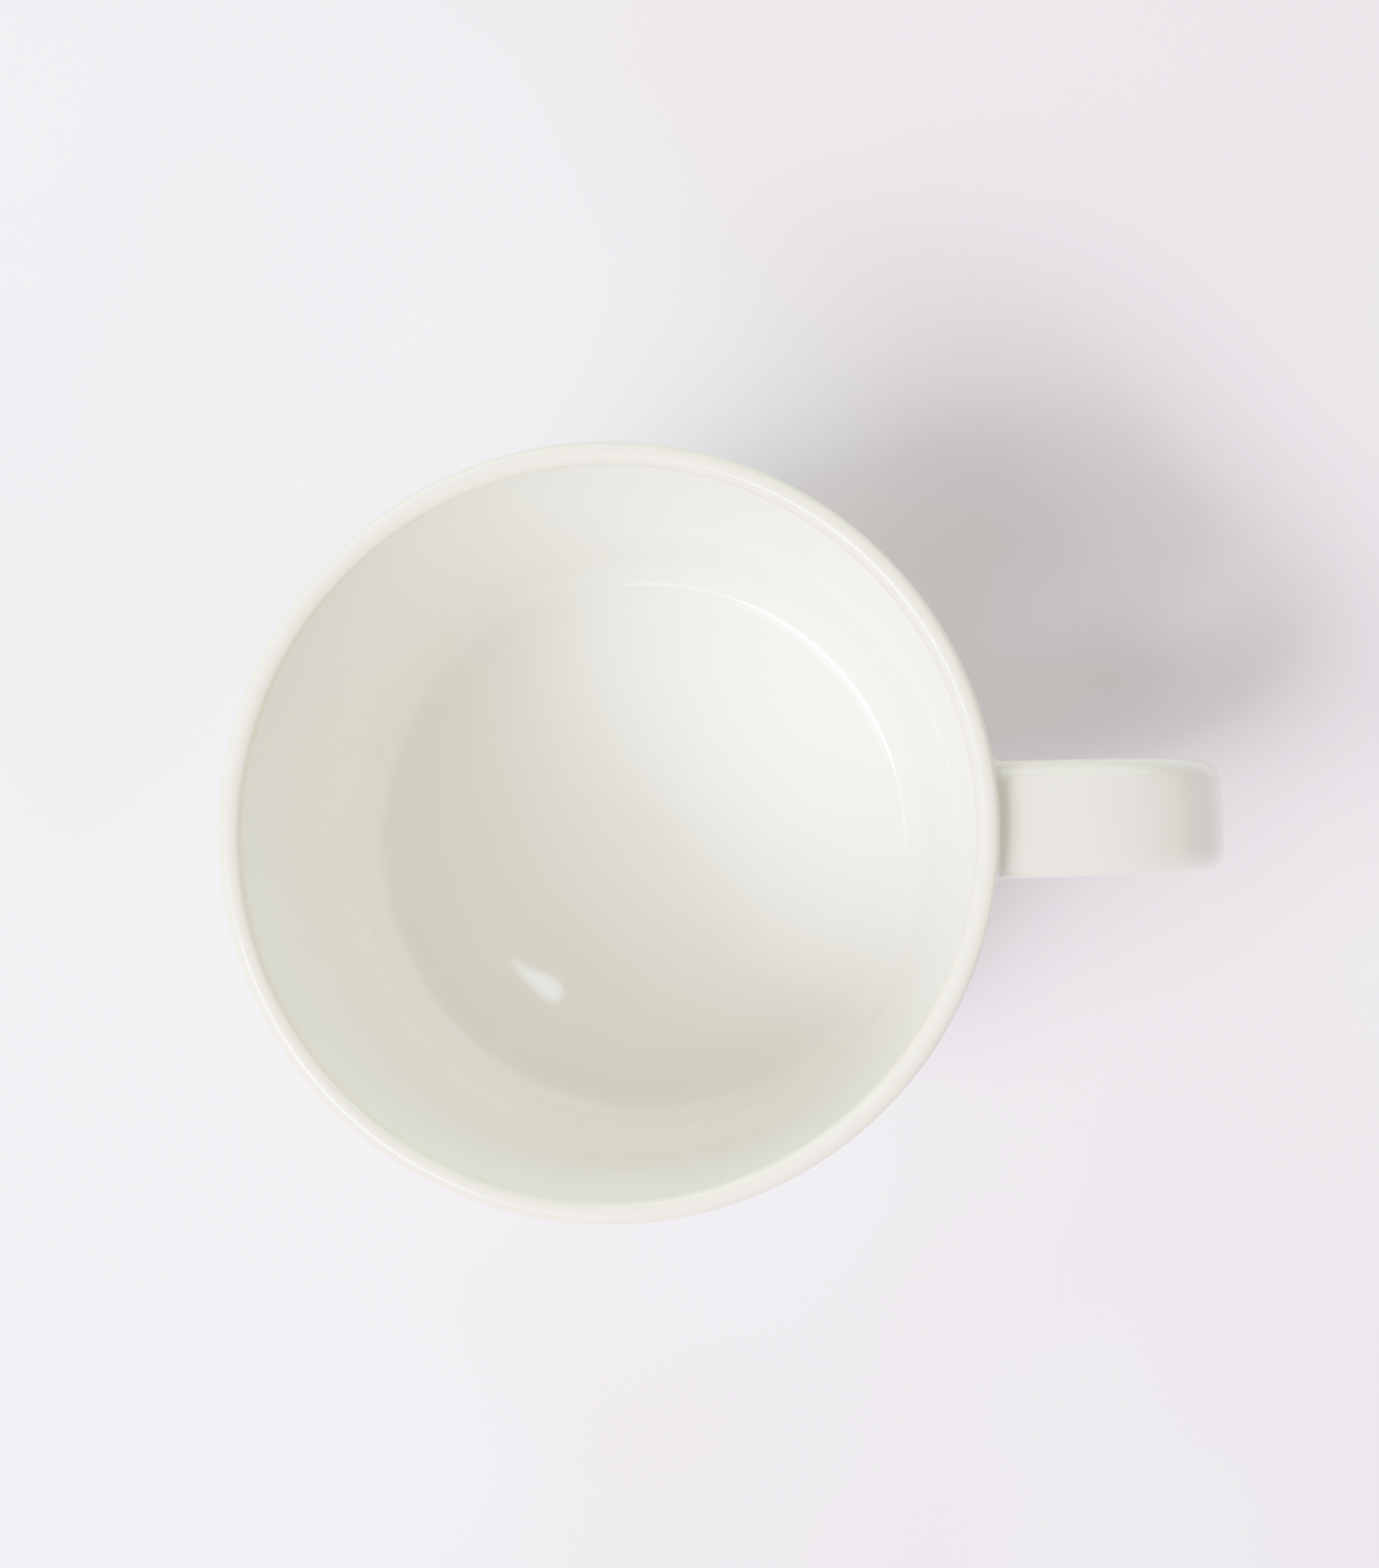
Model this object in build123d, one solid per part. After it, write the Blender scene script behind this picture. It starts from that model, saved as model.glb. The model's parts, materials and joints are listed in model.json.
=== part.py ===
from build123d import *
from math import hypot
import os

# Shaving mug: a straight-sided ceramic cup with a strap handle, glazed all over except its foot ring.
# Millimetres. Z is the cup's axis, Z = 0 is the plane it stands on, and the handle is on the +X side.
# The handle is made apart from the cup and bonded to it with slip, and the glaze covers all of them.

# Cup, measured over the glaze
height = 87.0
rim_radius = 43.0
wall_base_radius = 42.6
lip_radius = 1.3
inner_base_radius = 39.9
floor_z = 6.5
cove_radius = 5.0
corner_radius = 7.0

# Foot ring and the recess inside it
underside_z = 2.5
foot_outer_radius = 34.8
foot_inner_radius = 30.4
foot_edge_radius = 0.5
foot_root_radius = 0.6

# Glaze skin, which stops short of the foot ring's standing edge
glaze = 0.4
glaze_line_z = 1.2

# Handle strap, measured over the glaze, with its centre line from the wall outwards
strap_width = 13.1
strap_thickness = 6.2
strap_edge_radius = 2.6
root_x = 36.0
root_z = 81.2
start_slope = 10.0
upper_run = 16.2
shoulder_radius = 20.0
shoulder_turn = 70.0
back_radius = 36.0
back_turn = 45.0
heel_radius = 15.0
heel_turn = 40.0

# Slip that bonds the handle to the cup. It fills a shallow scored seat in the wall, lies as a pad
# under the handle's end, wraps that end, and stands round it as a bead.
seat_depth = 0.4
slip_pad = 0.6
slip_wrap = 0.35
slip_reach = 3.0
slip_bead_radius = 2.0
slip_margin = 0.5

# Where the strap is cut off inside the wall's thickness, as an inset from the outside
mid_wall_inset = 1.3

wall_bottom_z = underside_z + corner_radius
wall_top_z = height - lip_radius


def cup_face(inset, foot_bottom_z):
    """Half section of the cup, pulled in by inset all round, with its foot ring down to foot_bottom_z."""
    with BuildSketch(Plane.XZ) as section:
        with BuildLine():
            corner = CenterArc(
                (wall_base_radius - corner_radius, wall_bottom_z), corner_radius - inset, 270, 90
            )
            lip = CenterArc((rim_radius - lip_radius, wall_top_z), lip_radius - inset, 0, 180)
            cove = CenterArc(
                (inner_base_radius - cove_radius, floor_z + cove_radius), cove_radius + inset, 0, -90
            )
            Line(corner @ 1, lip @ 0)
            Line(lip @ 1, cove @ 0)
            Polyline(
                cove @ 1,
                (0, floor_z - inset),
                (0, underside_z + inset),
                (foot_inner_radius + inset, underside_z + inset),
                (foot_inner_radius + inset, foot_bottom_z),
                (foot_outer_radius - inset, foot_bottom_z),
                (foot_outer_radius - inset, underside_z + inset),
                corner @ 0,
            )
        make_face()
        foot_roots = [
            v
            for v in section.vertices()
            if abs(v.Z - underside_z - inset) < 1e-6
            and foot_inner_radius - 0.1 < v.X < foot_outer_radius + 0.1
        ]
        fillet(foot_roots, foot_root_radius)
    return section.sketch


def cup(inset, foot_bottom_z):
    """The cup's section turned round its axis, with the seam on the side away from the handle."""
    return Rot(0, 0, 180) * revolve(cup_face(inset, foot_bottom_z), Axis.Z)


def ease_foot(shape):
    """Rounds the two edges that the foot ring stands on."""
    standing_edges = [e for e in shape.edges() if abs(e.bounding_box().max.Z) < 1e-3]
    return fillet(standing_edges, foot_edge_radius)


def wall_block(inset):
    """What the outer wall's cone encloses, carried on past the rim, as a filled frustum pulled in by inset."""
    frustum = Cone(
        wall_base_radius - inset,
        wall_radius(height) - inset,
        height - wall_bottom_z,
        align=(Align.CENTER, Align.CENTER, Align.MIN),
    )
    return Pos(0, 0, wall_bottom_z) * Rot(0, 0, 180) * frustum


def strap_path():
    """Centre line of the strap: out of the wall, over the shoulder, down the back, round the heel and in."""
    with BuildLine(Plane.XZ) as path:
        out = PolarLine((root_x, root_z), upper_run, -start_slope)
        shoulder = JernArc(out @ 1, out % 1, shoulder_radius, -shoulder_turn)
        back = JernArc(shoulder @ 1, shoulder % 1, back_radius, -back_turn)
        heel = JernArc(back @ 1, back % 1, heel_radius, -heel_turn)
        lower_run = ((heel @ 1).X - root_x) / -(heel % 1).X
        Line(heel @ 1, (heel @ 1) + (heel % 1) * lower_run)
    return path.line


def strap(inset):
    """The strap from inside the cup's wall and back to it, with its section pulled in by inset."""
    path = strap_path()
    with BuildSketch(Plane(origin=path @ 0, x_dir=(0, 1, 0), z_dir=path % 0)) as section:
        RectangleRounded(
            strap_width - 2 * inset, strap_thickness - 2 * inset, strap_edge_radius - inset
        )
    return sweep(section.sketch, path)


def from_wall(shape, inset):
    """The part of the shape that lies outside the wall's outer surface pulled in by inset."""
    return (shape - wall_block(inset)).solids().sort_by(SortBy.VOLUME)[-1]


def wall_radius(z):
    """Outer radius of the glazed wall at height z."""
    rise = (z - wall_bottom_z) / (wall_top_z - wall_bottom_z)
    return wall_base_radius + rise * (rim_radius - wall_base_radius)


def meets_wall(edge, inset):
    """Is the edge one where the strap runs into the outer wall?"""
    points = [edge @ t for t in (0, 0.25, 0.5, 0.75, 1)]
    return all(
        p.X > 0
        and abs(p.Y) < strap_width
        and wall_bottom_z + 0.1 < p.Z < wall_top_z - 0.1
        and abs(hypot(p.X, p.Y) - wall_radius(p.Z) + inset) < 0.02
        for p in points
    )


def mug(inset, foot_bottom_z, bead_radius):
    """Cup and strap in one piece, pulled in by inset, with a bead round each end of the strap."""
    whole = cup(inset, foot_bottom_z) + from_wall(strap(inset), mid_wall_inset)
    return fillet([e for e in whole.edges() if meets_wall(e, inset)], bead_radius)


def joint_zone(inset):
    """The strap made fatter by the bead and a margin, from the wall pulled in by inset outwards."""
    return from_wall(strap(-slip_bead_radius - slip_margin), inset)


def clay_handle():
    """The strap as it is before bonding, with an end at each joint that the slip wraps."""
    grip = strap(glaze) - wall_block(glaze - slip_reach)
    ends = strap(glaze + slip_wrap) - wall_block(glaze - slip_pad)
    return grip + ends


def save(node, shape):
    export_step(shape, f"parts/{node}.step")


os.makedirs("parts", exist_ok=True)

clay = mug(glaze, 0, slip_bead_radius)
seats = joint_zone(glaze + seat_depth)
handle = clay_handle()
slips = (clay & seats & wall_block(glaze - slip_reach)) - handle
lower_slip, upper_slip = slips.solids().sort_by(Axis.Z)

skins = mug(0, glaze_line_z, slip_bead_radius - glaze) - clay
base_glaze, skin = skins.solids().sort_by(SortBy.VOLUME)
handle_zone = joint_zone(mid_wall_inset)

save("cup_body", ease_foot(clay - seats))
save("handle", handle)
save("upper_joint_slip", upper_slip)
save("lower_joint_slip", lower_slip)
save("cup_glaze", skin - handle_zone)
save("base_glaze", base_glaze)
save("handle_glaze", skin & handle_zone)
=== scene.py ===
import json
from math import cos, hypot, pi, radians, sin

import bmesh
import bpy
import numpy as np
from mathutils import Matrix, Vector


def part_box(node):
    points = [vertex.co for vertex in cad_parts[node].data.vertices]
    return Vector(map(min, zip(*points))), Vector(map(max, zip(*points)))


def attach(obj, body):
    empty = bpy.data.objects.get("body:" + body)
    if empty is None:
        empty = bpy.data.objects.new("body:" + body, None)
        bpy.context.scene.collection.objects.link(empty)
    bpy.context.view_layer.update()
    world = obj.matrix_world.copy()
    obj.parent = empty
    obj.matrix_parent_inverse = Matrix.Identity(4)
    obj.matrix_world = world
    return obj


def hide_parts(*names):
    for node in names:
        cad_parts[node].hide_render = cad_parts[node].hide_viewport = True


# Shaving mug: the looks of its glaze, clay and slip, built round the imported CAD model.
# Metres, in the row frame. Z is the cup's axis, Z = 0 is the plane it stands on, and the handle is on the
# +X side. The glaze is all that shows, apart from the bare foot ring that it stops short of.

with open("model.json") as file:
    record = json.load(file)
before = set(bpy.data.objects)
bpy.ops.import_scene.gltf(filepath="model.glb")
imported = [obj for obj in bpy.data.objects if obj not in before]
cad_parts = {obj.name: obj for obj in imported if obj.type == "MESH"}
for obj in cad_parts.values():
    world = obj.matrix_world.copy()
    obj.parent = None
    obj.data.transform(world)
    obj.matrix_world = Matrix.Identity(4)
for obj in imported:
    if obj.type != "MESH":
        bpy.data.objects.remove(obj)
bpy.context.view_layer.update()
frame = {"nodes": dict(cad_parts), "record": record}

MM = 0.001

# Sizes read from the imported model
mounts = {mount["name"]: mount for mount in frame["record"]["mounts"]}
floor_z = mounts["inner_floor"]["pos_m"][2]
rim_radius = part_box("cup_glaze")[1].x
rim_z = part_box("cup_glaze")[1].z
glaze_line_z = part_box("cup_glaze")[0].z
glaze = rim_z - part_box("cup_body")[1].z
underside_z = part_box("base_glaze")[1].z - glaze
foot_inner_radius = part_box("base_glaze")[1].y - glaze

# The rest of the cup's section, over the glaze, as the CAD model has it
wall_base_radius = rim_radius - 0.4 * MM
lip_radius = 1.3 * MM
inner_base_radius = 39.9 * MM
corner_radius = 7.0 * MM
foot_outer_radius = 34.8 * MM
foot_root_radius = 0.6 * MM
wall_bottom_z = underside_z + corner_radius
wall_top_z = rim_z - lip_radius

# The glaze pools in the cove and rounds it: rise up the wall, reach along the floor, and fullness
cove_rise = 9.6 * MM
cove_reach = 6.4 * MM
cove_weight = 1.35

# Handle strap, over the glaze. Headings are of its centre line, above +X, going from the upper joint.
strap_width = 13.1 * MM
strap_thickness = 6.2 * MM
strap_edge_radius = 2.6 * MM
strap_crown = 0.15 * MM
root_x = 36.0 * MM
root_z = 81.2 * MM
start_heading = radians(-10)
upper_run = 16.2 * MM
strap_bends = ((20.0 * MM, radians(70)), (36.0 * MM, radians(45)), (15.0 * MM, radians(40)))

# Bead of glaze round each end of the strap, and the strip of wall beyond it that the handle's glaze covers
bead_radius = 1.8 * MM
joint_margin = 0.4 * MM

# Camera, whose turns are about X, Y and Z
lens = 58.56
sensor_width = 36.0
camera_place = (0.0194, -0.0062, rim_z + 0.278)
camera_turns = (radians(2.2), radians(2.15), radians(-1.7))

# Lights: name, azimuth and elevation in degrees, width and height in metres, and watts
window_panes = (
    ("pane_low", 215, 45, 0.45, 0.28, 13.0),
    ("pane_main", 216, 57, 0.72, 0.28, 54.0),
    ("pane_high", 216, 68, 0.45, 0.26, 9.0),
    ("pane_left", 186, 55, 0.32, 0.30, 5.5),
    ("pane_right", 253, 56, 0.42, 0.30, 8.0),
)
pale_walls = (
    ("wall_front", 240, 32, 1.0, 0.5, 3.0),
    ("wall_behind", 118, 17, 1.0, 0.8, 32.0),
    ("wall_right", 50, 18, 1.0, 0.8, 13.0),
)
# Catch light: name, where it is seen in the floor in millimetres, length and width in metres, and watts
catch_lights = (
    ("catch_body", -14.6, -19.9, 0.026, 0.014, 0.022),
    ("catch_middle", -16.6, -18.5, 0.018, 0.010, 0.010),
    ("catch_tip", -18.3, -17.1, 0.014, 0.005, 0.003),
)
catch_light_z = 1.5
catch_light_heading = radians(-31)
soft_box_distance = 1.5
window_colour = (1.0, 0.96, 1.03)
wall_colour = (0.80, 1.03, 0.78)

# White surroundings, bright up to one elevation and darker above another
surroundings_colour = (1.0, 0.97, 1.0, 1)
surroundings_strength = 3.0
overhead_strength = 0.75
bright_up_to = radians(25)
dark_from = radians(55)

# Glaze tints. The inside's are a lighter copy of the outside's, as painted light in the cup, and the floor
# and rim edge tints are painted shade.
inside_warm_painted_light = (0.92, 0.912, 0.78)
inside_pale_painted_light = (0.932, 0.926, 0.80)
outside_warm = (0.70, 0.65, 0.49)
outside_pale = (0.72, 0.67, 0.51)
lip_tint = (0.76, 0.71, 0.51)
band_tint = (0.91, 0.90, 0.77)
floor_painted_shade_tint = (0.863, 0.866, 0.737)
rim_edge_painted_shade_tint = (0.72, 0.66, 0.47)
strap_edge_tint = (0.70, 0.645, 0.475)
speck_tint = (0.42, 0.36, 0.27)
dust_tint = (0.66, 0.62, 0.54)

# Clay tints
body_tint = (0.76, 0.71, 0.61)
slip_tint = (0.74, 0.70, 0.62)
pinhole_tint = (0.45, 0.38, 0.30)
rubbed_tint = (0.52, 0.47, 0.40)

# Table tints (darker towards +X: painted shade), the distances from the mug where the top fades out, and its
# half width
table_left_painted_light_tint = (0.90, 0.803, 0.96)
table_right_painted_shade_tint = (0.79, 0.63, 0.775)
table_fade = (0.35, 1.1)
table_half_width = 3.0

# A dark speck on the inner wall, on the handle's side
dark_speck_tint = (0.30, 0.26, 0.22)
dark_speck_turn = radians(6.9)
dark_speck_place = (40.2 * MM * cos(dark_speck_turn), 40.2 * MM * sin(dark_speck_turn), 71.0 * MM)

# Mesh density. A patch is the part of the wall's grid that gives way to a joint's outline.
cup_columns = 240
wall_rows = 56
patch_rows = 12
patch_half_columns = 10
patch_rings = 5
fillet_rows = 9
straight_rows = 10


# ---------------------------------------------------------------- camera, lights and floor


def make_camera():
    """Looks down on the mug from nearly straight above, with the handle to the right."""
    data = bpy.data.cameras.new("camera")
    data.lens = lens
    data.sensor_width = sensor_width
    data.clip_start = 0.01
    data.clip_end = 20.0
    camera = bpy.data.objects.new("camera", data)
    camera.location = camera_place
    camera.rotation_euler = camera_turns
    bpy.context.scene.collection.objects.link(camera)
    bpy.context.scene.camera = camera


def soft_box(name, azimuth, elevation, width, height, power, colour):
    """An area light that faces the mug. Azimuth turns from +X to +Y, and width lies along the horizon."""
    azimuth, elevation = radians(azimuth), radians(elevation)
    data = bpy.data.lights.new(name, "AREA")
    data.shape = "RECTANGLE"
    data.size = width
    data.size_y = height
    data.energy = power
    data.color = colour
    light = bpy.data.objects.new(name, data)
    away = Vector((cos(azimuth) * cos(elevation), sin(azimuth) * cos(elevation), sin(elevation)))
    light.location = Vector((0, 0, rim_z / 2)) + away * soft_box_distance
    light.rotation_euler = away.to_track_quat("Z", "Y").to_euler()
    bpy.context.scene.collection.objects.link(light)


def make_lights():
    """A window at the front left, as five panes, pale walls on the other sides, and a catch light."""
    for pane in window_panes:
        soft_box(*pane, window_colour)
    for wall in pale_walls:
        soft_box(*wall, wall_colour)
    for name, x, y, length, width, power in catch_lights:
        catch_light(name, x * MM, y * MM, length, width, power)


def catch_light(name, x, y, length, width, power):
    """A small lamp high above, placed so that the camera sees it mirrored in the cup's floor at x, y."""
    spot = Vector((x, y, floor_z))
    away = spot - bpy.context.scene.camera.location
    away.z = -away.z
    data = bpy.data.lights.new(name, "AREA")
    data.shape = "ELLIPSE"
    data.size = length
    data.size_y = width
    data.energy = power
    light = bpy.data.objects.new(name, data)
    light.location = spot + away * (catch_light_z - floor_z) / away.z
    light.rotation_euler = (0, 0, catch_light_heading)
    bpy.context.scene.collection.objects.link(light)


def make_world():
    """Surroundings that the glaze mirrors and the camera sees. Only the lights light matt surfaces."""
    nodes = Nodes(bpy.data.worlds.new("surroundings"), "Generated")
    level = nodes.ramp(
        nodes.along("Z"), sin(bright_up_to), sin(dark_from), surroundings_strength, overhead_strength
    )
    is_diffuse = nodes.add("ShaderNodeLightPath").outputs["Is Diffuse Ray"]
    strength = nodes.combine("MULTIPLY", level, nodes.combine("SUBTRACT", 1.0, is_diffuse))
    background = nodes.tree.nodes["Background"]
    background.inputs["Color"].default_value = surroundings_colour
    nodes.feed(background.inputs["Strength"], strength)
    bpy.context.scene.world = nodes.owner


def set_tones():
    """A soft tone curve that keeps the white glaze and the white table apart."""
    view = bpy.context.scene.view_settings
    view.view_transform = "AgX"
    view.look = "AgX - Medium High Contrast"


def make_floor():
    """A wide table top under the mug, which isn't part of it."""
    shape = bmesh.new()
    bmesh.ops.create_grid(shape, x_segments=8, y_segments=8, size=table_half_width)
    mesh = bpy.data.meshes.new("table_top")
    shape.to_mesh(mesh)
    shape.free()
    table = bpy.data.objects.new("table_top", mesh)
    bpy.context.scene.collection.objects.link(table)
    dress(table, floor_material())


# ---------------------------------------------------------------- materials


class Nodes:
    """Short ways to add and join shader nodes in a material or a world."""

    def __init__(self, owner, coordinates="Object"):
        owner.use_nodes = True
        self.owner = owner
        self.tree = owner.node_tree
        self.shader = self.tree.nodes.get("Principled BSDF")
        self.position = self.add("ShaderNodeTexCoord").outputs[coordinates]

    def add(self, kind, **settings):
        node = self.tree.nodes.new(kind)
        for key, value in settings.items():
            setattr(node, key, value)
        return node

    def feed(self, socket, value):
        if isinstance(value, bpy.types.NodeSocket):
            self.tree.links.new(value, socket)
        else:
            socket.default_value = value

    def noise(self, size, detail=2.0, roughness=0.5, seed=0.0, place=None):
        """Noise from 0 to 1 whose blobs are about size across."""
        node = self.add("ShaderNodeTexNoise", noise_dimensions="4D")
        self.feed(node.inputs["Vector"], self.position if place is None else place)
        node.inputs["W"].default_value = seed
        node.inputs["Scale"].default_value = 1 / size
        node.inputs["Detail"].default_value = detail
        node.inputs["Roughness"].default_value = roughness
        return node.outputs["Fac"]

    def ramp(self, value, start, end, low=0.0, high=1.0):
        """low up to start, high from end on, and smooth between them."""
        node = self.add("ShaderNodeMapRange", interpolation_type="SMOOTHSTEP")
        self.feed(node.inputs["Value"], value)
        node.inputs["From Min"].default_value = start
        node.inputs["From Max"].default_value = end
        node.inputs["To Min"].default_value = low
        node.inputs["To Max"].default_value = high
        return node.outputs["Result"]

    def mix(self, factor, first, second):
        """The first colour where factor is 0 and the second where it is 1. Each is a tint or a socket."""
        node = self.add("ShaderNodeMix", data_type="RGBA")
        self.feed(node.inputs["Factor"], factor)
        for name, colour in (("A", first), ("B", second)):
            self.feed(node.inputs[name], (*colour, 1) if isinstance(colour, tuple) else colour)
        return node.outputs["Result"]

    def combine(self, operation, *values):
        node = self.add("ShaderNodeMath", operation=operation)
        for socket, value in zip(node.inputs, values):
            self.feed(socket, value)
        return node.outputs["Value"]

    def along(self, axis):
        node = self.add("ShaderNodeSeparateXYZ")
        self.feed(node.inputs["Vector"], self.position)
        return node.outputs[axis]

    def radius(self):
        """Distance from the cup's axis."""
        squares = self.combine("POWER", self.along("Y"), 2.0)
        squares = self.combine("MULTIPLY_ADD", self.along("X"), self.along("X"), squares)
        return self.combine("SQRT", squares)

    def inside(self):
        """1 within the cup's inner surface and 0 outside it."""
        inner_radius = rim_radius - lip_radius
        within = self.ramp(self.radius(), inner_radius - 0.2 * MM, inner_radius - 0.5 * MM)
        above = self.ramp(self.along("Z"), floor_z - 1 * MM, floor_z - 0.5 * MM)
        return self.combine("MULTIPLY", within, above)

    def cells(self, size, seed):
        """Distance to the nearest of some points scattered about size apart, as a share of size."""
        node = self.add("ShaderNodeTexVoronoi", voronoi_dimensions="4D")
        self.feed(node.inputs["Vector"], self.position)
        node.inputs["W"].default_value = seed
        node.inputs["Scale"].default_value = 1 / size
        return node.outputs["Distance"]

    def stretched_noise(self, seed, *place):
        """Noise over a place worked out from the position, with blobs about 1 across."""
        node = self.add("ShaderNodeCombineXYZ")
        for socket, (value, scale) in zip(node.inputs, place):
            self.feed(socket, self.combine("MULTIPLY", value, scale))
        return self.noise(1.0, seed=seed, place=node.outputs["Vector"])

    def rings(self, spacing, seed):
        """Broken rings round the cup's axis, as brushes scratch them."""
        turn = self.combine("ARCTAN2", self.along("Y"), self.along("X"))
        return self.stretched_noise(seed, (self.radius(), 1 / spacing), (turn, 1.5))

    def bands(self, spacing, seed):
        """Faint level bands, broken here and there, as a thrower's fingers leave them."""
        length = 25 * MM
        up = (self.along("Z"), 1 / spacing)
        across = (self.along("X"), 1 / length)
        back = (self.along("Y"), 1 / length)
        return self.stretched_noise(seed, up, across, back)

    def spot(self, colour, place, size, tint):
        """The colour with one round spot on it."""
        node = self.add("ShaderNodeVectorMath", operation="DISTANCE")
        self.feed(node.inputs[0], self.position)
        node.inputs[1].default_value = place
        return self.mix(self.ramp(node.outputs["Value"], size, 0.4 * size, 0.0, 0.8), colour, tint)

    def bump(self, height, distance):
        node = self.add("ShaderNodeBump")
        node.inputs["Strength"].default_value = 1.0
        node.inputs["Distance"].default_value = distance
        self.feed(node.inputs["Height"], height)
        self.feed(self.shader.inputs["Normal"], node.outputs["Normal"])


def glaze_base(name, seed):
    """Glossy off-white glaze, a little cloudy and uneven, with orange peel and a few iron specks."""
    nodes = Nodes(bpy.data.materials.new(name))
    cloud = nodes.ramp(nodes.noise(24 * MM, 3.0, 0.55, seed), 0.3, 0.7)
    colour = nodes.mix(cloud, outside_warm, outside_pale)
    # The inside is painted lighter than the outside: painted light filling the cup.
    colour = nodes.mix(nodes.inside(), colour, nodes.mix(cloud, inside_warm_painted_light, inside_pale_painted_light))
    specks = nodes.ramp(nodes.cells(9 * MM, seed), 0.012, 0.02, 0.5, 0.0)
    colour = nodes.mix(specks, colour, speck_tint)
    roughness = nodes.ramp(nodes.noise(13 * MM, 4.0, 0.6, seed + 1), 0.35, 0.75, 0.02, 0.045)
    waves = nodes.noise(8 * MM, 1.0, 0.4, seed + 2)
    peel = nodes.combine("MULTIPLY_ADD", nodes.noise(1.4 * MM, 1.0, 0.4, seed + 3), 0.05, waves)
    nodes.bump(peel, 0.004 * MM)
    nodes.shader.inputs["IOR"].default_value = 1.5
    return nodes, colour, roughness


def finish_glaze(nodes, colour, roughness):
    nodes.feed(nodes.shader.inputs["Base Color"], colour)
    nodes.feed(nodes.shader.inputs["Roughness"], roughness)
    return nodes.owner


def cup_glaze_material():
    """Faintly banded on its walls, with painted shade darkening its floor and most its cove, where brushes
    wear it, and thin and browner on its lip, with painted shade along the lip's outer edge."""
    nodes, colour, roughness = glaze_base("cup_glaze", 1.0)
    radius, height, inside = nodes.radius(), nodes.along("Z"), nodes.inside()
    bands = nodes.ramp(nodes.bands(2.5 * MM, 5.0), 0.35, 0.75, 0.0, 0.5)
    colour = nodes.mix(nodes.combine("MULTIPLY", bands, inside), colour, band_tint)
    # Darker on the floor and most at the cove: painted shade in the cup's bottom corner.
    low = nodes.combine("MULTIPLY", nodes.ramp(height, floor_z + 1.6 * MM, floor_z + 0.2 * MM), inside)
    floor_painted_shade = nodes.combine("MULTIPLY", nodes.ramp(radius, 24 * MM, 35 * MM, 0.45, 1.0), low)
    colour = nodes.mix(floor_painted_shade, colour, floor_painted_shade_tint)
    uneven = nodes.ramp(nodes.noise(5 * MM, 4.0, 0.6, 7.0), 0.3, 0.7, -0.25 * MM, 0.25 * MM)
    thin = nodes.ramp(nodes.combine("ADD", height, uneven), rim_z - 2.4 * MM, rim_z - 0.9 * MM)
    colour = nodes.mix(thin, colour, lip_tint)
    # Darker and browner at the lip's outer edge: painted shade, with the glaze thinner there.
    edge = nodes.ramp(radius, rim_radius - 0.7 * MM, rim_radius - 0.1 * MM)
    edge = nodes.combine("MULTIPLY", nodes.combine("MULTIPLY", edge, thin), 0.6)
    colour = nodes.mix(edge, colour, rim_edge_painted_shade_tint)
    colour = nodes.spot(colour, dark_speck_place, 0.32 * MM, dark_speck_tint)
    worn = nodes.ramp(radius, 34 * MM, 26 * MM)
    worn = nodes.combine("MULTIPLY", worn, nodes.ramp(height, floor_z + 2.5 * MM, floor_z + 1.5 * MM))
    scratches = nodes.ramp(nodes.rings(0.5 * MM, 9.0), 0.45, 0.75, 0.0, 0.015)
    roughness = nodes.combine("MULTIPLY_ADD", worn, scratches, roughness)
    roughness = nodes.combine("MULTIPLY_ADD", thin, 0.12, roughness)
    return finish_glaze(nodes, colour, roughness)


def base_glaze_material():
    """Under the base, with greyer kiln dust towards the corner by the foot ring."""
    nodes, colour, roughness = glaze_base("base_glaze", 11.0)
    dust = nodes.ramp(nodes.noise(3 * MM, 5.0, 0.65, 14.0), 0.4, 0.75)
    dust = nodes.combine("MULTIPLY", dust, nodes.ramp(nodes.radius(), 24 * MM, foot_inner_radius, 0.1, 0.7))
    colour = nodes.mix(dust, colour, dust_tint)
    return finish_glaze(nodes, colour, nodes.combine("MULTIPLY_ADD", dust, 0.25, roughness))


def handle_glaze_material():
    """Thin and browner along the strap's edges, and rubbed smoother on its upper half."""
    nodes, colour, roughness = glaze_base("handle_glaze", 21.0)
    side = nodes.combine("ABSOLUTE", nodes.along("Y"))
    edge = nodes.ramp(side, strap_width / 2 - 1.3 * MM, strap_width / 2 - 0.2 * MM, 0.0, 0.4)
    colour = nodes.mix(edge, colour, strap_edge_tint)
    unrubbed = nodes.ramp(nodes.along("Z"), 50 * MM, 62 * MM, 0.02, 0.0)
    return finish_glaze(nodes, colour, nodes.combine("ADD", roughness, unrubbed))


def clay_material(name, tint, grit, seed):
    """Bare fired clay: matt, with grit, stains and pinholes, and rubbed darker where it stands."""
    nodes = Nodes(bpy.data.materials.new(name))
    stain = nodes.ramp(nodes.noise(6 * MM, 5.0, 0.6, seed), 0.35, 0.7)
    colour = nodes.mix(stain, tint, tuple(0.82 * channel for channel in tint))
    pinholes = nodes.ramp(nodes.cells(1.6 * MM, seed), 0.05, 0.09, 0.7, 0.0)
    colour = nodes.mix(pinholes, colour, pinhole_tint)
    rubbed = nodes.ramp(nodes.along("Z"), 0.3 * MM, 0.1 * MM, 0.0, 0.45)
    patchy = nodes.ramp(nodes.noise(3 * MM, 3.0, 0.6, seed + 3), 0.3, 0.6)
    colour = nodes.mix(nodes.combine("MULTIPLY", rubbed, patchy), colour, rubbed_tint)
    nodes.feed(nodes.shader.inputs["Base Color"], colour)
    matt = nodes.ramp(nodes.noise(2 * MM, 3.0, 0.5, seed + 1), 0.3, 0.7, 0.72, 0.92)
    nodes.feed(nodes.shader.inputs["Roughness"], matt)
    nodes.bump(nodes.noise(grit, 4.0, 0.7, seed + 2), 0.05 * MM)
    return nodes.owner


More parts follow.
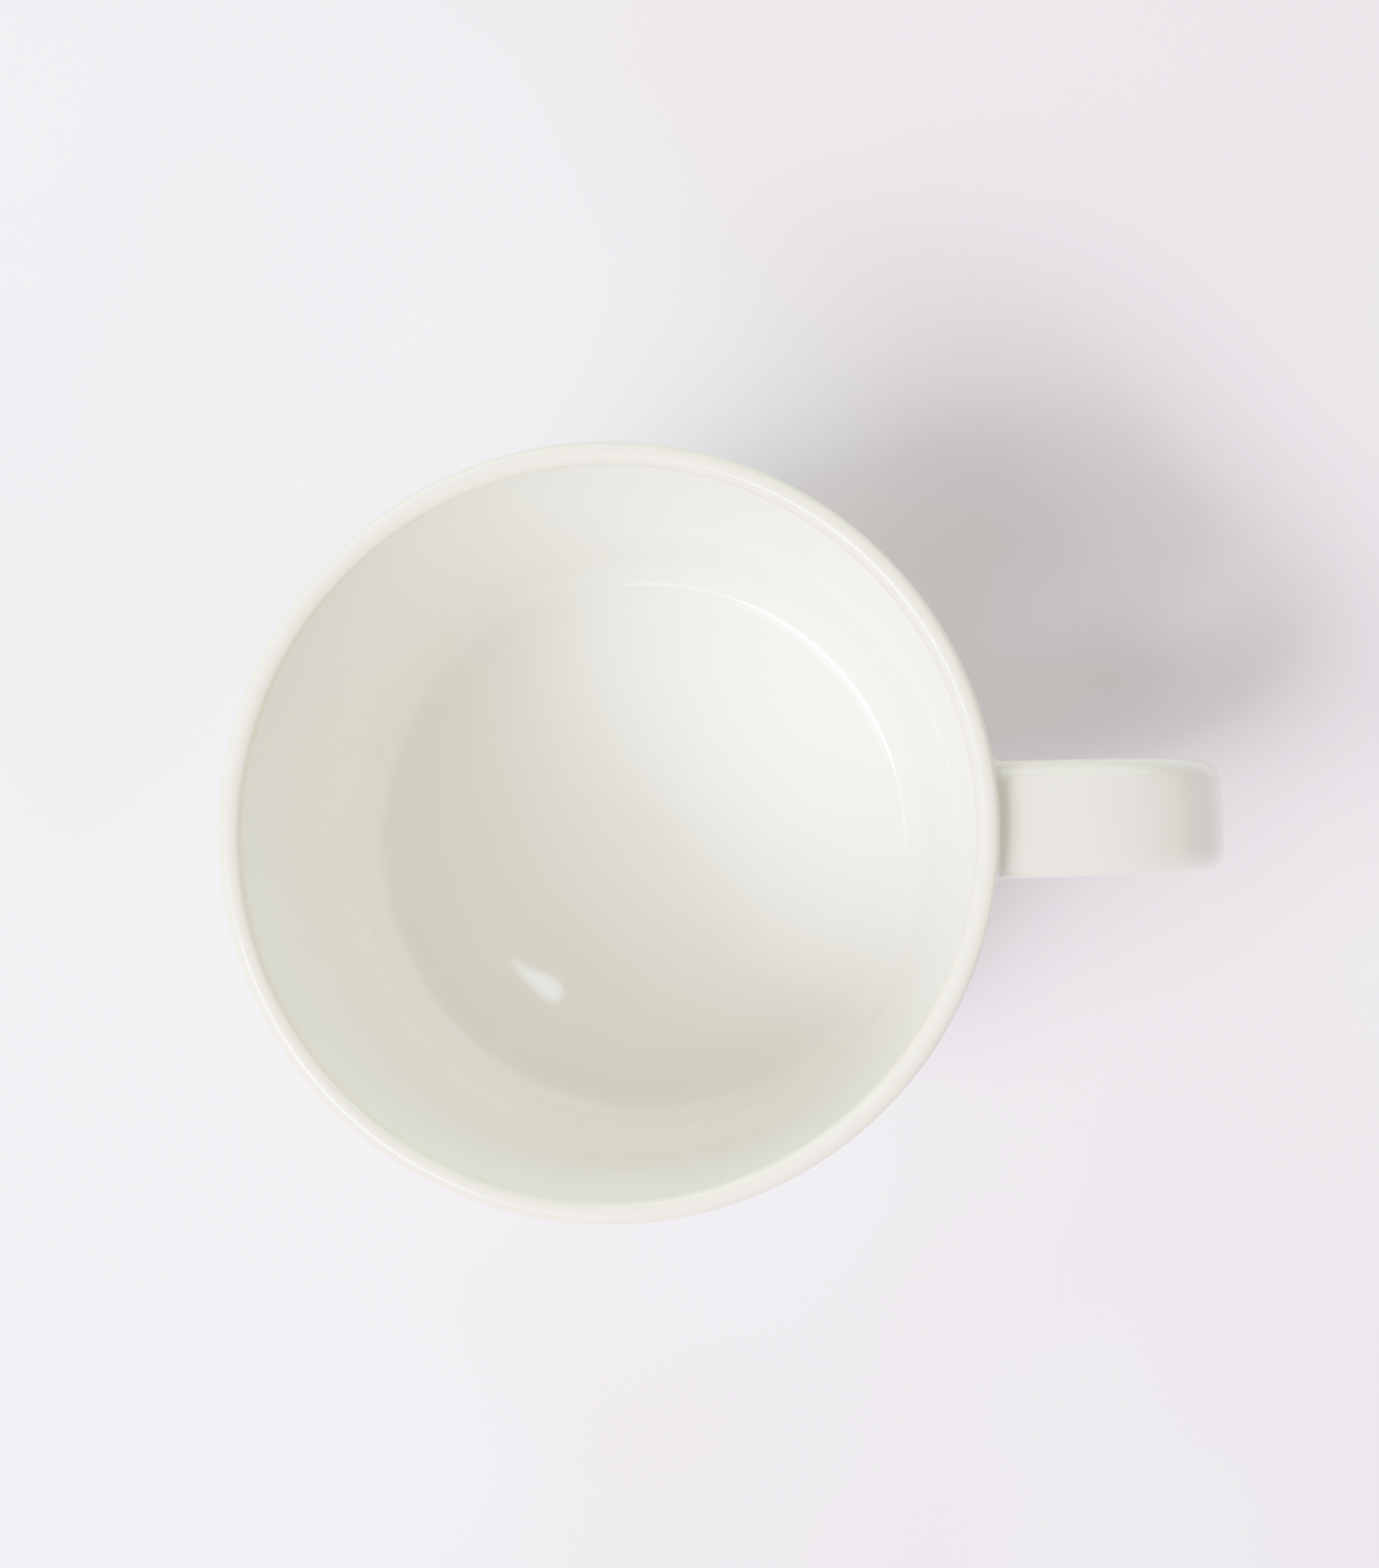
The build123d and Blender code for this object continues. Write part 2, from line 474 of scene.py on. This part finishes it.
def floor_material():
    """A pale, slightly cloudy table top, darker towards +X as painted shade, fading into the surroundings
    away from the mug.
    """
    nodes = Nodes(bpy.data.materials.new("table_top"))
    # Lighter towards -X and darker and pinker towards +X, broken by noise: painted shade of the light
    # falling off.
    cloud = nodes.combine("ADD", nodes.along("X"), nodes.noise(0.1, 2.0, 0.5, 3.0))
    colour = nodes.mix(nodes.ramp(cloud, 0.35, 0.65), table_left_painted_light_tint, table_right_painted_shade_tint)
    nodes.feed(nodes.shader.inputs["Base Color"], colour)
    nodes.feed(nodes.shader.inputs["Alpha"], nodes.ramp(nodes.radius(), *table_fade, 1.0, 0.0))
    nodes.shader.inputs["Roughness"].default_value = 0.7
    nodes.shader.inputs["Specular IOR Level"].default_value = 0.2
    return nodes.owner


def dress(piece, material):
    piece.data.materials.clear()
    piece.data.materials.append(material)


# ---------------------------------------------------------------- sheets of glaze


def line(start, end, steps):
    """Half-section points (r, z, normal r, normal z) from start up to but not including end."""
    (r0, z0), (r1, z1) = start, end
    length = hypot(r1 - r0, z1 - z0)
    normal = ((z1 - z0) / length, (r0 - r1) / length)
    return [(r0 + (r1 - r0) * k / steps, z0 + (z1 - z0) * k / steps, *normal) for k in range(steps)]


def arc(centre, radius, start, end, steps):
    """The same round an arc between two directions, in degrees. It is hollow if it turns clockwise."""
    side = 1 if end > start else -1
    points = []
    for k in range(steps):
        angle = radians(start + (end - start) * k / steps)
        across, up = cos(angle), sin(angle)
        points.append((centre[0] + radius * across, centre[1] + radius * up, side * across, side * up))
    return points


def conic_shares(t, weight):
    """How much of its start, corner and end goes into a conic's point at t, as parts of their sum."""
    return np.array(((1 - t) ** 2, 2 * weight * t * (1 - t), t**2))


def eased(start, corner, end, weight, steps):
    """The same round a hollow corner, on a conic that bends gently near its ends."""
    corners = np.array((start, corner, end))
    points = []
    for t in np.arange(steps) / steps:
        shares = conic_shares(t, weight)
        changes = np.array((t - 1, weight * (1 - 2 * t), t))
        r, z = shares @ corners / shares.sum()
        along = changes @ corners - changes.sum() * np.array((r, z))
        along /= np.linalg.norm(along)
        points.append((r, z, along[1], -along[0]))
    return points


def wall_radius(z):
    """Outer radius of the cup's wall at height z."""
    rise = (z - wall_bottom_z) / (wall_top_z - wall_bottom_z)
    return wall_base_radius + rise * (rim_radius - wall_base_radius)


def on_wall(angle, z):
    """The point of the outer wall at an angle round the axis and a height, and the wall's normal there."""
    slope = (rim_radius - wall_base_radius) / (wall_top_z - wall_bottom_z)
    normal = np.array((cos(angle), sin(angle), -slope))
    radius = wall_radius(z)
    point = np.array((radius * cos(angle), radius * sin(angle), z))
    return point, normal / np.linalg.norm(normal)


class Sheet:
    """The side of the glaze that is seen, as points with normals, and faces."""

    def __init__(self):
        self.points = []
        self.normals = []
        self.faces = []

    def add(self, point, normal):
        self.points.append(tuple(point))
        self.normals.append(tuple(normal))
        return len(self.points) - 1

    def bridge(self, first, second):
        """Quads between two closed rows of points of the same length."""
        for i in range(len(first)):
            j = (i + 1) % len(first)
            self.faces.append((first[i], first[j], second[j], second[i]))

    def fan(self, row, tip):
        """Triangles between a closed row of points and one point."""
        for i, point in enumerate(row):
            self.faces.append((point, row[(i + 1) % len(row)], tip))

    def thicken(self, name, rounded=(), square=()):
        """A closed piece: this sheet, its copy one glaze thickness under it, and a rim round each open row.
        A rounded row's rim bulges downwards, and a square row's is flat, to meet the glaze beside it."""
        seen = np.array(self.points)
        normals = np.array(self.normals)
        points = [seen, seen - glaze * normals]
        directions = [normals, -normals]
        under = len(seen)
        total = 2 * under
        faces = self.faces + [tuple(under + i for i in reversed(face)) for face in self.faces]
        for row, steps in [(row, 6) for row in rounded] + [(row, 1) for row in square]:
            row = np.array(row)
            previous = row
            for k in range(1, steps):
                turn = pi * k / steps
                out = normals[row] * cos(turn) - np.array((0, 0, 1)) * sin(turn)
                points.append(seen[row] + glaze / 2 * (out - normals[row]))
                directions.append(out)
                ring = np.arange(total, total + len(row))
                total += len(row)
                faces += quads(previous, ring)
                previous = ring
            faces += quads(previous, row + under)
        return make_piece(name, np.concatenate(points), np.concatenate(directions), faces)


def quads(first, second):
    """Faces between two closed rows of point numbers."""
    rows = (first, second, np.roll(second, -1), np.roll(first, -1))
    return [tuple(int(i) for i in corners) for corners in zip(*rows)]


def make_piece(name, points, normals, faces):
    mesh = bpy.data.meshes.new(name)
    mesh.from_pydata(points.tolist(), [], faces)
    shape = bmesh.new()
    shape.from_mesh(mesh)
    bmesh.ops.recalc_face_normals(shape, faces=shape.faces)
    shape.to_mesh(mesh)
    shape.free()
    mesh.shade_smooth()
    mesh.normals_split_custom_set_from_vertices(normals.tolist())
    piece = bpy.data.objects.new(name, mesh)
    bpy.context.scene.collection.objects.link(piece)
    return piece


def lathe(sheet, section, columns, keep):
    """Turns half-section points round the axis into rows of points. keep says which of them to make."""
    rows = []
    for k, (r, z, normal_r, normal_z) in enumerate(section):
        row = [None] * columns
        for j in range(columns):
            if keep(k, j):
                across, along = cos(2 * pi * j / columns), sin(2 * pi * j / columns)
                normal = (normal_r * across, normal_r * along, normal_z)
                row[j] = sheet.add((r * across, r * along, z), normal)
        rows.append(row)
    return rows


# ---------------------------------------------------------------- handle


def strap_outline():
    """Points (y, n) round the strap's section, where n is outwards from the loop that the strap makes.
    Each point matches one on the border of a wall patch. The first is the corner at +Y on the inner face."""
    half_width = strap_width / 2 - strap_edge_radius
    half_height = strap_thickness / 2 - strap_edge_radius
    quarter = strap_edge_radius * pi / 2
    points = []
    for side in range(4):
        steps, straight = ((patch_rows, 2 * half_height), (2 * patch_half_columns, 2 * half_width))[side % 2]
        for k in range(steps):
            along = (straight + quarter) * k / steps - straight / 2 - quarter / 2
            bend = max(0, abs(along) - straight / 2) / strap_edge_radius
            direction = 1 if along > 0 else -1
            reach = min(abs(along), straight / 2) + strap_edge_radius * sin(bend)
            across = (half_width, half_height)[side % 2] + strap_edge_radius * cos(bend)
            y, n = ((across, direction * reach), (-direction * reach, across))[side % 2]
            if side >= 2:
                y, n = -y, -n
            crown = strap_crown * (2 * y / strap_width) ** 2
            points.append((y, n * (1 - 2 * crown / strap_thickness)))
    return points


def strap_stations():
    """Where the strap's cross sections lie between its two straight runs, as x, z and heading."""
    heading = start_heading
    x = root_x + upper_run * cos(heading)
    z = root_z + upper_run * sin(heading)
    stations = [(x, z, heading)]
    for radius, turn in strap_bends:
        centre_x = x + radius * sin(heading)
        centre_z = z - radius * cos(heading)
        steps = round(turn / radians(3))
        for k in range(1, steps + 1):
            angle = heading - turn * k / steps
            x = centre_x - radius * sin(angle)
            z = centre_z + radius * cos(angle)
            stations.append((x, z, angle))
        heading -= turn
    return stations


def section_at(station, outline):
    x, z, heading = station
    return np.array([(x - n * sin(heading), y, z + n * cos(heading)) for y, n in outline])


def reach_wall(start, direction):
    """Where a straight line from start meets the outer wall."""
    point = start
    for _ in range(8):
        gap = hypot(point[0], point[1]) - wall_radius(point[2])
        point = point - direction * gap / np.dot(direction, (point[0], point[1], 0)) * hypot(*point[:2])
    return point


def joint_rows(section, inwards):
    """Rows from the wall's patch to a straight run's end: over the wall, up the bead, along the strap."""
    feet = np.array([reach_wall(start, inwards) for start in section])
    tangents = np.roll(feet, -1, axis=0) - np.roll(feet, 1, axis=0)
    middle = feet.mean(axis=0)
    columns = []
    for start, foot, tangent in zip(section, feet, tangents):
        _, wall_normal = on_wall(np.arctan2(foot[1], foot[0]), foot[2])
        away = np.cross(wall_normal, tangent)
        away *= np.sign(np.dot(away, foot - middle)) / np.linalg.norm(away)
        opening = np.arccos(np.dot(-inwards, away))
        reach = bead_radius / np.tan(opening / 2)
        edge = foot + (reach + joint_margin) * away
        toe = foot + reach * away
        edge, _ = on_wall(np.arctan2(edge[1], edge[0]), edge[2])
        toe, toe_normal = on_wall(np.arctan2(toe[1], toe[0]), toe[2])
        head = foot - reach * inwards
        lift = np.dot(toe - foot, toe_normal) / np.dot(-inwards, toe_normal)
        corner = foot - lift * inwards
        weight = sin(opening / 2)
        column = [edge]
        for k in range(fillet_rows + 1):
            shares = conic_shares(k / fillet_rows, weight)
            column.append(shares @ np.array((toe, corner, head)) / shares.sum())
        for k in range(1, straight_rows):
            column.append(head + (start - head) * k / straight_rows)
        columns.append(column)
    return [np.array(row) for row in zip(*columns)]


def handle_sheet():
    """The handle's glaze from wall to wall, its rows of points, and the outlines of its two joints."""
    outline = strap_outline()
    stations = strap_stations()
    sections = [section_at(station, outline) for station in stations]
    upper_in = -np.array((cos(stations[0][2]), 0, sin(stations[0][2])))
    lower_in = np.array((cos(stations[-1][2]), 0, sin(stations[-1][2])))
    upper = joint_rows(sections[0], upper_in)
    lower = joint_rows(sections[-1], lower_in)
    sheet = Sheet()
    rows = []
    for row in upper + sections + lower[::-1]:
        rows.append([sheet.add(point, (0, 0, 0)) for point in row])
    for first, second in zip(rows, rows[1:]):
        sheet.bridge(first, second)
    sheet.normals = face_weighted_normals(sheet)
    joints = []
    for row in (rows[0], rows[-1]):
        places = [(np.arctan2(sheet.points[i][1], sheet.points[i][0]), sheet.points[i][2]) for i in row]
        for i, place in zip(row, places):
            sheet.normals[i] = on_wall(*place)[1]
        joints.append(places)
    return sheet, rows, joints


def face_weighted_normals(sheet):
    """Normals that point away from the handle's centre line, from the faces round each point."""
    points = np.array(sheet.points)
    faces = np.array(sheet.faces)
    across = points[faces[:, 2]] - points[faces[:, 0]]
    along = points[faces[:, 3]] - points[faces[:, 1]]
    face_normals = np.cross(across, along)
    normals = np.zeros_like(points)
    for corner in range(4):
        np.add.at(normals, faces[:, corner], face_normals)
    normals /= np.linalg.norm(normals, axis=1)[:, None]
    outermost = points[:, 0].argmax()
    return normals * np.sign(normals[outermost, 0])


# ---------------------------------------------------------------- cup


def cup_section():
    """The glazed half section in parts: up the foot and the wall, over the lip and down to the centre."""
    foot_top = underside_z - foot_root_radius
    root_end = foot_outer_radius + foot_root_radius
    corner_centre = wall_base_radius - corner_radius
    cove_top = (inner_base_radius, floor_z + cove_rise)
    cove_corner = (inner_base_radius, floor_z)
    cove_foot = (inner_base_radius - cove_reach, floor_z)
    lip_centre = rim_radius - lip_radius
    return {
        "foot": line((foot_outer_radius, glaze_line_z + glaze / 2), (foot_outer_radius, foot_top), 2),
        "foot_root": arc((root_end, foot_top), foot_root_radius, 180, 90, 4),
        "underside": line((root_end, underside_z), (corner_centre, underside_z), 1),
        "corner": arc((corner_centre, wall_bottom_z), corner_radius, 270, 360, 14),
        "wall": line((wall_base_radius, wall_bottom_z), (rim_radius, wall_top_z), wall_rows),
        "lip": arc((lip_centre, wall_top_z), lip_radius, 0, 180, 16),
        "inside": line((rim_radius - 2 * lip_radius, wall_top_z), cove_top, 30),
        "cove": eased(cove_top, cove_corner, cove_foot, cove_weight, 24),
        "floor": line(cove_foot, (0, floor_z), 12),
    }


def patch_border(rows, start, end):
    """Point numbers round a patch: up +Y's side from row start to row end, across, back and across again."""
    half = patch_half_columns
    step = 1 if end > start else -1
    right = [rows[k][half] for k in range(start, end, step)]
    far = [rows[end][j] for j in range(half, -half, -1)]
    left = [rows[k][-half] for k in range(end, start, -step)]
    near = [rows[start][j] for j in range(-half, half)]
    return right + far + left + near


def fill_patch(sheet, border, joint):
    """Fills a patch of the wall from its border in to the joint's outline, and returns the last row."""
    places = []
    for i in border:
        x, y, z = sheet.points[i]
        places.append((np.arctan2(y, x), z))
    previous = border
    for k in range(1, patch_rings + 1):
        t = k / patch_rings
        ring = []
        for (angle, z), (joint_angle, joint_z) in zip(places, joint):
            place = (angle + (joint_angle - angle) * t, z + (joint_z - z) * t)
            ring.append(sheet.add(*on_wall(*place)))
        sheet.bridge(previous, ring)
        previous = ring
    return previous


def cup_piece(joints):
    """The cup's glaze in one sheet, with an opening where each end of the handle's glaze meets it."""
    parts = cup_section()
    section = [point for part in parts.values() for point in part]
    first_row = sum(len(parts[name]) for name in ("foot", "foot_root", "underside", "corner"))
    row_height = (wall_top_z - wall_bottom_z) / wall_rows
    patches = []
    for joint in joints:
        heights = [z for _, z in joint]
        middle = (min(heights) + max(heights)) / 2 - wall_bottom_z
        patches.append(first_row + round(middle / row_height - patch_rows / 2))

    def in_patch(row, column):
        near = min(column, cup_columns - column) < patch_half_columns
        return near and any(low < row < low + patch_rows for low in patches)

    sheet = Sheet()
    rows = lathe(sheet, section, cup_columns, lambda row, column: not in_patch(row, column))
    for k, (lower, upper) in enumerate(zip(rows, rows[1:])):
        beside_patch = any(low <= k < low + patch_rows for low in patches)
        for j in range(cup_columns):
            near = j < patch_half_columns or j >= cup_columns - patch_half_columns
            if not (near and beside_patch):
                i = (j + 1) % cup_columns
                sheet.faces.append((lower[j], lower[i], upper[i], upper[j]))
    sheet.fan(rows[-1], sheet.add((0, 0, floor_z), (0, 0, 1)))

    upper_low, lower_low = patches
    upper_border = patch_border(rows, upper_low, upper_low + patch_rows)
    lower_border = patch_border(rows, lower_low + patch_rows, lower_low)
    loops = [fill_patch(sheet, upper_border, joints[0]), fill_patch(sheet, lower_border, joints[1])]
    return sheet.thicken("cup_glaze_coat", rounded=[rows[0]], square=loops)


def base_piece():
    """The glaze in the recess under the base, out to the foot ring and down its inner side."""
    root_start = foot_inner_radius - foot_root_radius
    foot_top = underside_z - foot_root_radius
    section = line((root_start / 12, underside_z), (root_start, underside_z), 11)
    section += arc((root_start, foot_top), foot_root_radius, 90, 0, 5)
    section += line((foot_inner_radius, foot_top), (foot_inner_radius, glaze_line_z + glaze / 2), 2)
    section.append((foot_inner_radius, glaze_line_z + glaze / 2, -1, 0))
    sheet = Sheet()
    rows = lathe(sheet, section, cup_columns, lambda row, column: True)
    for first, second in zip(rows, rows[1:]):
        sheet.bridge(first, second)
    sheet.fan(rows[0], sheet.add((0, 0, underside_z), (0, 0, -1)))
    return sheet.thicken("base_glaze_coat", rounded=[rows[-1]])


# ---------------------------------------------------------------- the mug


make_camera()
set_tones()
make_world()
make_lights()
make_floor()

handle_glaze_sheet, handle_rows, handle_joints = handle_sheet()
handle_coat = handle_glaze_sheet.thicken("handle_glaze_coat", square=(handle_rows[0], handle_rows[-1]))
cup_coat = cup_piece(handle_joints)
base_coat = base_piece()

coats = (
    (cup_coat, "cup_glaze", cup_glaze_material()),
    (base_coat, "base_glaze", base_glaze_material()),
    (handle_coat, "handle_glaze", handle_glaze_material()),
)
for coat, node, material in coats:
    dress(coat, material)
    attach(coat, "root")
    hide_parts(node)

clays = (
    ("cup_body", body_tint, 0.5 * MM, 31.0),
    ("handle", body_tint, 0.5 * MM, 41.0),
    ("upper_joint_slip", slip_tint, 0.25 * MM, 51.0),
    ("lower_joint_slip", slip_tint, 0.25 * MM, 61.0),
)
for node, tint, grit, seed in clays:
    dress(frame["nodes"][node], clay_material(node + "_clay", tint, grit, seed))
